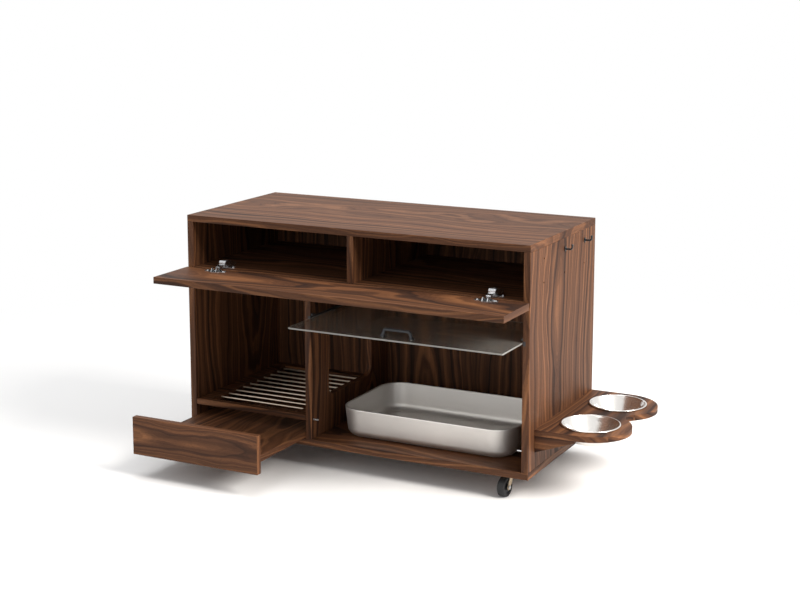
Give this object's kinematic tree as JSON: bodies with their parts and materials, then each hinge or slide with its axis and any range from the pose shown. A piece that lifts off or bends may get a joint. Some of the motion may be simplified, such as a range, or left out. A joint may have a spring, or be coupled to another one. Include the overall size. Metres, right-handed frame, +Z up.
{
  "type": "cat litter cabinet",
  "caption": "Litter cabinet on castors: drop-down flap over shelf compartments, slatted bay with catch drawer, litter tray bay with slide-in clear door, side feeder board.",
  "frame": {"origin": "on the floor, under the middle of the object's outline as shown (flap down, drawer out, feeder included)", "axes": "+X along the width towards the feeder board, +Y from the open front to the back, +Z up"},
  "size_m": [1.215, 0.724, 0.654],
  "materials": {
    "walnut_veneer": "satin walnut veneer on board",
    "dark_lipping": "satin walnut-stained wood",
    "pale_hardwood": "pale hardwood",
    "zinc_steel": "zinc-plated, satin",
    "black_plastic": "black, matte",
    "nylon": "natural nylon",
    "clear_acrylic": "clear acrylic sheet",
    "dark_grey_handle": "dark grey powder coat",
    "satin_steel_tray": "satin stainless steel",
    "fork_paint": "pale yellow-zinc",
    "rubber_tyre": "black rubber",
    "wheel_plastic": "dark grey plastic"
  },
  "bodies": {
    "cabinet": {"top_board": "walnut_veneer", "bottom_board": "walnut_veneer", "left_side": "walnut_veneer", "right_side": "walnut_veneer", "back_panel": "walnut_veneer", "lower_divider": "walnut_veneer", "upper_shelf": "walnut_veneer", "upper_divider": "walnut_veneer", "dowels": "pale_hardwood", "cam_locks": "zinc_steel", "case_screws": "zinc_steel", "slat_frame": "dark_lipping", "slats": "zinc_steel", "frame_pins": "zinc_steel", "door_tracks": "black_plastic", "stop_pins": "zinc_steel", "hinge_plates": "zinc_steel", "hinge_arms": "zinc_steel", "feeder_board": "walnut_veneer", "feeder_brackets": "walnut_veneer", "feeder_screws": "zinc_steel", "hooks": "black_plastic", "castor_plates": "zinc_steel"},
    "flap": {"flap_panel": "walnut_veneer", "hinge_cups": "zinc_steel", "hinge_links": "zinc_steel"},
    "door_carrier": {"door_rollers": "nylon"},
    "door": {"acrylic_door": "clear_acrylic", "pivot_brackets": "black_plastic", "door_handle": "dark_grey_handle", "handle_screws": "zinc_steel"},
    "drawer": {"drawer_front": "walnut_veneer", "catch_board": "walnut_veneer", "drawer_glides": "nylon"},
    "tray": {"litter_tray": "satin_steel_tray"},
    "front_bowl": {"bowl_front": "satin_steel_tray"},
    "rear_bowl": {"bowl_rear": "satin_steel_tray"},
    "castor_fl": {"castor_fork_fl": "fork_paint", "castor_axle_fl": "zinc_steel"},
    "roller_fl": {"wheel_fl": "wheel_plastic", "tyre_fl": "rubber_tyre"},
    "castor_fr": {"castor_fork_fr": "fork_paint", "castor_axle_fr": "zinc_steel"},
    "roller_fr": {"wheel_fr": "wheel_plastic", "tyre_fr": "rubber_tyre"},
    "castor_rl": {"castor_fork_rl": "fork_paint", "castor_axle_rl": "zinc_steel"},
    "roller_rl": {"wheel_rl": "wheel_plastic", "tyre_rl": "rubber_tyre"},
    "castor_rr": {"castor_fork_rr": "fork_paint", "castor_axle_rr": "zinc_steel"},
    "roller_rr": {"wheel_rr": "wheel_plastic", "tyre_rr": "rubber_tyre"}
  },
  "joints": [
    {"name": "flap_hinge", "type": "hinge", "parent": "cabinet", "child": "flap", "pos_m": [-0.1075, -0.10576, 0.50274], "axis": [-1, 0, 0], "range_deg": [0, 90]},
    {"name": "door_slide", "type": "slide", "parent": "cabinet", "child": "door_carrier", "axis": [0, -1, 0], "range_m": [0, 0.2005]},
    {"name": "door_swing", "type": "hinge", "parent": "door_carrier", "child": "door", "pos_m": [0.0745, 0.1135, 0.4075], "axis": [1, 0, 0], "range_deg": [0, 90]},
    {"name": "drawer_slide", "type": "slide", "parent": "cabinet", "child": "drawer", "axis": [0, 1, 0], "range_m": [-0.08, 0.25]},
    {"name": "tray_slide", "type": "slide", "parent": "cabinet", "child": "tray", "axis": [0, 1, 0], "range_m": [-0.28, 0]},
    {"name": "front_bowl_lift", "type": "slide", "parent": "cabinet", "child": "front_bowl", "axis": [0, 0, 1], "range_m": [0, 0.08]},
    {"name": "rear_bowl_lift", "type": "slide", "parent": "cabinet", "child": "rear_bowl", "axis": [0, 0, 1], "range_m": [0, 0.08]},
    {"name": "castor_swivel_fl", "type": "hinge", "parent": "cabinet", "child": "castor_fl", "pos_m": [-0.5355, -0.047, 0.055], "axis": [0, 0, 1], "continuous": true},
    {"name": "wheel_spin_fl", "type": "hinge", "parent": "castor_fl", "child": "roller_fl", "pos_m": [-0.52442, -0.06118, 0.025], "axis": [0.788, 0.6157, 0], "continuous": true},
    {"name": "castor_swivel_fr", "type": "hinge", "parent": "cabinet", "child": "castor_fr", "pos_m": [0.3205, -0.047, 0.055], "axis": [0, 0, 1], "continuous": true},
    {"name": "wheel_spin_fr", "type": "hinge", "parent": "castor_fr", "child": "roller_fr", "pos_m": [0.31893, -0.06493, 0.025], "axis": [0.9962, -0.0872, 0], "continuous": true},
    {"name": "castor_swivel_rl", "type": "hinge", "parent": "cabinet", "child": "castor_rl", "pos_m": [-0.5355, 0.316, 0.055], "axis": [0, 0, 1], "continuous": true},
    {"name": "wheel_spin_rl", "type": "hinge", "parent": "castor_rl", "child": "roller_rl", "pos_m": [-0.52934, 0.33291, 0.025], "axis": [-0.9397, 0.342, 0], "continuous": true},
    {"name": "castor_swivel_rr", "type": "hinge", "parent": "cabinet", "child": "castor_rr", "pos_m": [0.3205, 0.316, 0.055], "axis": [0, 0, 1], "continuous": true},
    {"name": "wheel_spin_rr", "type": "hinge", "parent": "castor_rr", "child": "roller_rr", "pos_m": [0.31289, 0.33231, 0.025], "axis": [-0.9063, -0.4226, 0], "continuous": true}
  ],
  "couplings": [
    {"joint": "door_swing", "follows": "door_slide", "rad_per_m": 7.8343}
  ]
}
